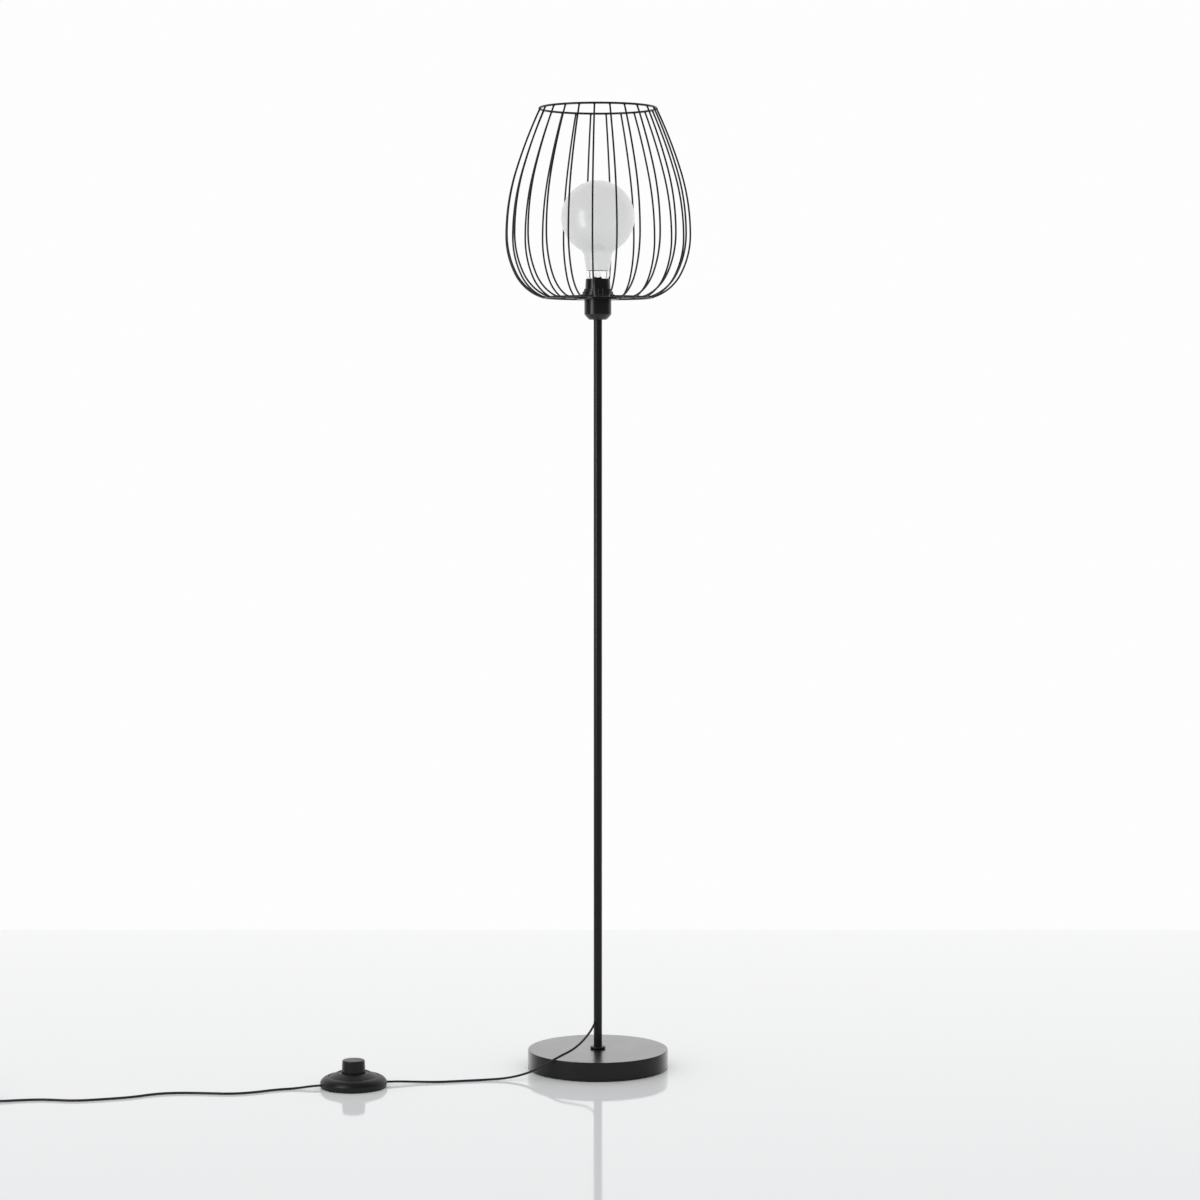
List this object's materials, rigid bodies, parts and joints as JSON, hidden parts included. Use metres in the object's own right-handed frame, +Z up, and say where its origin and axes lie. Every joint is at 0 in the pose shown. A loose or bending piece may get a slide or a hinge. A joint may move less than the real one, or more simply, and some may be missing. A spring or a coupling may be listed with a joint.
{
  "type": "wire cage floor lamp",
  "caption": "Floor lamp with a round weighted base, thin jointed pole, E27 lampholder, open bent-wire cage round an opal globe bulb, and a mains lead with foot switch and plug.",
  "frame": {"origin": "middle of the base's underside, on the floor", "axes": "+Z up along the pole; the lamp is looked at along +Y, with +X to the right, and the lead lies towards -X"},
  "size_m": [1.1244, 0.3952, 1.5002],
  "materials": {
    "black_steel": "satin black powder coat",
    "cast_filler": "rough cast cement",
    "felt": "dense felt",
    "zinc_steel": "zinc plated",
    "black_rubber": "matt",
    "holder_plastic": "semi-gloss black",
    "white_ceramic": "unglazed",
    "brass": "bright",
    "opal_glass": "satin opal",
    "cap_metal": "drawn",
    "dark_glass": "black vitrite",
    "solder": "tinned",
    "clear_glass": "clear",
    "filament": "fine wire",
    "switch_plastic": "satin black",
    "button_plastic": "satin black",
    "rotor_plastic": "natural",
    "cord_sheath": "satin black PVC",
    "plug_plastic": "satin black",
    "plated_pins": "nickel plated"
  },
  "bodies": {
    "lamp": {"base_cover": "black_steel", "pole_lower": "black_steel", "pole_middle": "black_steel", "pole_upper": "black_steel", "pole_foot_collar": "black_steel", "cage_top_ring": "black_steel", "cage_bottom_ring": "black_steel", "cage_ribs_01": "black_steel", "cage_ribs_02": "black_steel", "cage_ribs_03": "black_steel", "cage_ribs_04": "black_steel", "cage_ribs_05": "black_steel", "cage_ribs_06": "black_steel", "cage_ribs_07": "black_steel", "cage_ribs_08": "black_steel", "cage_ribs_09": "black_steel", "cage_ribs_10": "black_steel", "cage_ribs_11": "black_steel", "cage_ribs_12": "black_steel", "cage_washer": "black_steel", "cage_arm_a": "black_steel", "cage_arm_b": "black_steel", "cage_arm_c": "black_steel", "base_weight": "cast_filler", "base_pad": "felt", "base_bolt": "zinc_steel", "base_washer": "zinc_steel", "pole_bushes": "zinc_steel", "pole_nipples": "zinc_steel", "holder_nipple": "zinc_steel", "switch_screws": "zinc_steel", "switch_spring": "zinc_steel", "pole_cord_grommet": "black_rubber", "holder_cup": "holder_plastic", "holder_barrel": "holder_plastic", "shade_ring": "holder_plastic", "holder_core": "white_ceramic", "holder_terminal_screws": "brass", "holder_screw_shell": "brass", "holder_centre_contact": "brass", "switch_contacts": "brass", "switch_cover": "switch_plastic", "switch_base": "switch_plastic", "cord_in_pole": "cord_sheath", "cord_lamp_to_switch": "cord_sheath", "cord_switch_to_coil": "cord_sheath", "cord_coil": "cord_sheath", "cord_plug_lead": "cord_sheath", "plug_boot": "cord_sheath", "plug_body": "plug_plastic", "cord_tie": "plug_plastic", "plug_pins": "plated_pins"},
    "bulb_contact": {"bulb_tip": "solder"},
    "bulb": {"bulb_globe": "opal_glass", "bulb_cap": "cap_metal", "bulb_insulator": "dark_glass", "bulb_stem": "clear_glass", "bulb_filament": "filament"},
    "switch_button": {"switch_button": "button_plastic"},
    "switch_rotor": {"switch_rotor": "rotor_plastic"}
  },
  "joints": [
    {"name": "bulb_lift", "type": "slide", "parent": "lamp", "child": "bulb_contact", "axis": [0, 0, 1], "range_m": [0, 0.0146]},
    {"name": "bulb_turn", "type": "hinge", "parent": "bulb_contact", "child": "bulb", "pos_m": [0, 0, 1.21], "axis": [0, 0, 1], "range_deg": [0, 1440]},
    {"name": "button_press", "type": "slide", "parent": "lamp", "child": "switch_button", "axis": [0, 0, -1], "range_m": [0, 0.006], "stiffness_N_per_m": 400, "springref_m": -0.004, "deforming": ["switch_spring"]},
    {"name": "rotor_turn", "type": "hinge", "parent": "lamp", "child": "switch_rotor", "pos_m": [-0.3736, -0.14, 0.007], "axis": [0, 0, 1], "range_deg": [0, 45]}
  ],
  "couplings": [
    {"joint": "bulb_lift", "follows": "bulb_turn", "m_per_rad": 0.00057757},
    {"joint": "rotor_turn", "follows": "button_press", "rad_per_m": 130.89}
  ]
}
